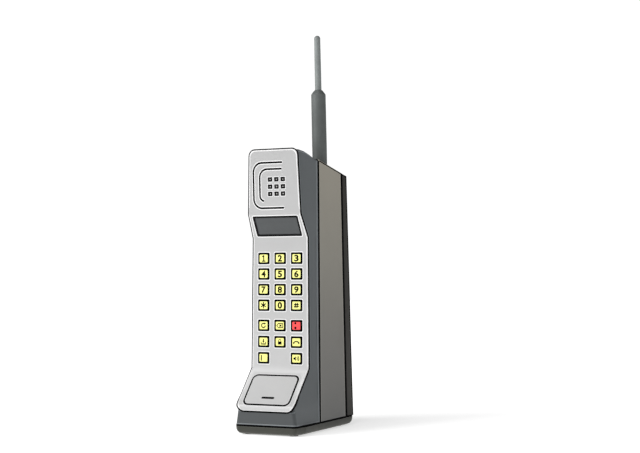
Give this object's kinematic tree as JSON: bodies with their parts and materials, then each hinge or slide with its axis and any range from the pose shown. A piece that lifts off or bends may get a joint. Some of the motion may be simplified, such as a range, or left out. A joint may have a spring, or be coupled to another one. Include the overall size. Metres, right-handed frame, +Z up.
{
  "type": "brick mobile phone",
  "caption": "Early hand-held mobile phone: tall two-tone body with earpiece, slanted display, push keys, angled mouthpiece, clip-on battery pack and thick stepped antenna.",
  "frame": {"origin": "on the floor under the middle of the phone standing on its base", "axes": "+Z up towards the antenna, -Y out of the keypad and earpiece, +X to the right seen from the front"},
  "size_m": [0.0624, 0.0955, 0.333],
  "materials": {
    "front_plastic": "fine moulded grain",
    "rear_plastic": "fine moulded grain",
    "plate_plastic": "satin",
    "window_plastic": "polished",
    "pack_plastic": "fine moulded grain",
    "base_plastic": "fine moulded grain",
    "key_plastic": "satin",
    "red_key_plastic": "satin",
    "black_rubber": "matt",
    "black_plastic": "satin",
    "antenna_rubber": "satin",
    "antenna_whip_cover": "satin",
    "mesh_plastic": "satin",
    "board": "satin solder resist",
    "aluminium": "bare",
    "tinned_steel": "tinned",
    "screw_steel": "zinc plated",
    "gold_contact": "gold plated",
    "brass": "bare",
    "cell_jacket": "shrink sleeve",
    "ribbon": "film"
  },
  "bodies": {
    "handset": {"front_shell": "front_plastic", "rear_shell": "rear_plastic", "faceplate": "plate_plastic", "mouthpiece_cover": "plate_plastic", "earpiece_grille": "mesh_plastic", "earpiece_gasket": "black_rubber", "earpiece_speaker": "black_plastic", "display_window": "window_plastic", "display_module": "black_plastic", "keypad_seal": "black_rubber", "keypad_board": "board", "dome_contacts": "tinned_steel", "ribbon_cable": "ribbon", "microphone_boot": "black_rubber", "microphone_capsule": "tinned_steel", "chassis_frame": "aluminium", "logic_board": "board", "logic_chips": "black_plastic", "radio_board": "board", "radio_shield": "tinned_steel", "duplexer_filter": "aluminium", "ringer": "black_plastic", "antenna_bushing": "brass", "antenna_lead": "black_plastic", "battery_terminals": "gold_contact", "case_screws": "screw_steel", "base_cap": "base_plastic", "base_feet": "black_rubber", "base_screws": "screw_steel", "charge_jack": "black_plastic", "charge_contacts": "gold_contact"},
    "battery_pack": {"battery_case": "pack_plastic", "battery_cover": "pack_plastic", "battery_cells": "cell_jacket", "battery_contacts": "gold_contact"},
    "battery_catch": {"battery_latch": "black_plastic", "latch_spring": "screw_steel"},
    "antenna": {"antenna_sleeve": "antenna_rubber", "antenna_whip": "antenna_whip_cover", "antenna_stud": "brass"},
    "key_1": {"key_1": "key_plastic"},
    "key_2": {"key_2": "key_plastic"},
    "key_3": {"key_3": "key_plastic"},
    "key_4": {"key_4": "key_plastic"},
    "key_5": {"key_5": "key_plastic"},
    "key_6": {"key_6": "key_plastic"},
    "key_7": {"key_7": "key_plastic"},
    "key_8": {"key_8": "key_plastic"},
    "key_9": {"key_9": "key_plastic"},
    "key_star": {"key_star": "key_plastic"},
    "key_0": {"key_0": "key_plastic"},
    "key_hash": {"key_hash": "key_plastic"},
    "key_recall": {"key_recall": "key_plastic"},
    "key_clear": {"key_clear": "key_plastic"},
    "key_send": {"key_send": "red_key_plastic"},
    "key_store": {"key_store": "key_plastic"},
    "key_lock": {"key_lock": "key_plastic"},
    "key_end": {"key_end": "key_plastic"},
    "key_power": {"key_power": "key_plastic"},
    "key_volume": {"key_volume": "key_plastic"}
  },
  "joints": [
    {"name": "battery_slide", "type": "slide", "parent": "handset", "child": "battery_pack", "axis": [0, 1, 0], "range_m": [0, 0.03]},
    {"name": "battery_catch_slide", "type": "slide", "parent": "battery_pack", "child": "battery_catch", "axis": [0, 0, -1], "range_m": [0, 0.0024], "stiffness_N_per_m": 500, "springref_m": -0.001, "deforming": ["latch_spring"]},
    {"name": "antenna_turn", "type": "hinge", "parent": "handset", "child": "antenna", "pos_m": [0.0205, 0.018, 0.225], "axis": [0, 0, 1], "continuous": true},
    {"name": "key_1_press", "type": "slide", "parent": "handset", "child": "key_1", "axis": [0, 0.999, -0.0454], "range_m": [0, 0.0009], "stiffness_N_per_m": 400, "springref_m": -0.0005},
    {"name": "key_2_press", "type": "slide", "parent": "handset", "child": "key_2", "axis": [0, 0.999, -0.0454], "range_m": [0, 0.0009], "stiffness_N_per_m": 400, "springref_m": -0.0005},
    {"name": "key_3_press", "type": "slide", "parent": "handset", "child": "key_3", "axis": [0, 0.999, -0.0454], "range_m": [0, 0.0009], "stiffness_N_per_m": 400, "springref_m": -0.0005},
    {"name": "key_4_press", "type": "slide", "parent": "handset", "child": "key_4", "axis": [0, 0.999, -0.0454], "range_m": [0, 0.0009], "stiffness_N_per_m": 400, "springref_m": -0.0005},
    {"name": "key_5_press", "type": "slide", "parent": "handset", "child": "key_5", "axis": [0, 0.999, -0.0454], "range_m": [0, 0.0009], "stiffness_N_per_m": 400, "springref_m": -0.0005},
    {"name": "key_6_press", "type": "slide", "parent": "handset", "child": "key_6", "axis": [0, 0.999, -0.0454], "range_m": [0, 0.0009], "stiffness_N_per_m": 400, "springref_m": -0.0005},
    {"name": "key_7_press", "type": "slide", "parent": "handset", "child": "key_7", "axis": [0, 0.999, -0.0454], "range_m": [0, 0.0009], "stiffness_N_per_m": 400, "springref_m": -0.0005},
    {"name": "key_8_press", "type": "slide", "parent": "handset", "child": "key_8", "axis": [0, 0.999, -0.0454], "range_m": [0, 0.0009], "stiffness_N_per_m": 400, "springref_m": -0.0005},
    {"name": "key_9_press", "type": "slide", "parent": "handset", "child": "key_9", "axis": [0, 0.999, -0.0454], "range_m": [0, 0.0009], "stiffness_N_per_m": 400, "springref_m": -0.0005},
    {"name": "key_star_press", "type": "slide", "parent": "handset", "child": "key_star", "axis": [0, 0.999, -0.0454], "range_m": [0, 0.0009], "stiffness_N_per_m": 400, "springref_m": -0.0005},
    {"name": "key_0_press", "type": "slide", "parent": "handset", "child": "key_0", "axis": [0, 0.999, -0.0454], "range_m": [0, 0.0009], "stiffness_N_per_m": 400, "springref_m": -0.0005},
    {"name": "key_hash_press", "type": "slide", "parent": "handset", "child": "key_hash", "axis": [0, 0.999, -0.0454], "range_m": [0, 0.0009], "stiffness_N_per_m": 400, "springref_m": -0.0005},
    {"name": "key_recall_press", "type": "slide", "parent": "handset", "child": "key_recall", "axis": [0, 0.999, -0.0454], "range_m": [0, 0.0009], "stiffness_N_per_m": 400, "springref_m": -0.0005},
    {"name": "key_clear_press", "type": "slide", "parent": "handset", "child": "key_clear", "axis": [0, 0.999, -0.0454], "range_m": [0, 0.0009], "stiffness_N_per_m": 400, "springref_m": -0.0005},
    {"name": "key_send_press", "type": "slide", "parent": "handset", "child": "key_send", "axis": [0, 0.999, -0.0454], "range_m": [0, 0.0009], "stiffness_N_per_m": 400, "springref_m": -0.0005},
    {"name": "key_store_press", "type": "slide", "parent": "handset", "child": "key_store", "axis": [0, 0.999, -0.0454], "range_m": [0, 0.0009], "stiffness_N_per_m": 400, "springref_m": -0.0005},
    {"name": "key_lock_press", "type": "slide", "parent": "handset", "child": "key_lock", "axis": [0, 0.999, -0.0454], "range_m": [0, 0.0009], "stiffness_N_per_m": 400, "springref_m": -0.0005},
    {"name": "key_end_press", "type": "slide", "parent": "handset", "child": "key_end", "axis": [0, 0.999, -0.0454], "range_m": [0, 0.0009], "stiffness_N_per_m": 400, "springref_m": -0.0005},
    {"name": "key_power_press", "type": "slide", "parent": "handset", "child": "key_power", "axis": [0, 0.999, -0.0454], "range_m": [0, 0.0009], "stiffness_N_per_m": 400, "springref_m": -0.0005},
    {"name": "key_volume_press", "type": "slide", "parent": "handset", "child": "key_volume", "axis": [0, 0.999, -0.0454], "range_m": [0, 0.0009], "stiffness_N_per_m": 400, "springref_m": -0.0005}
  ]
}
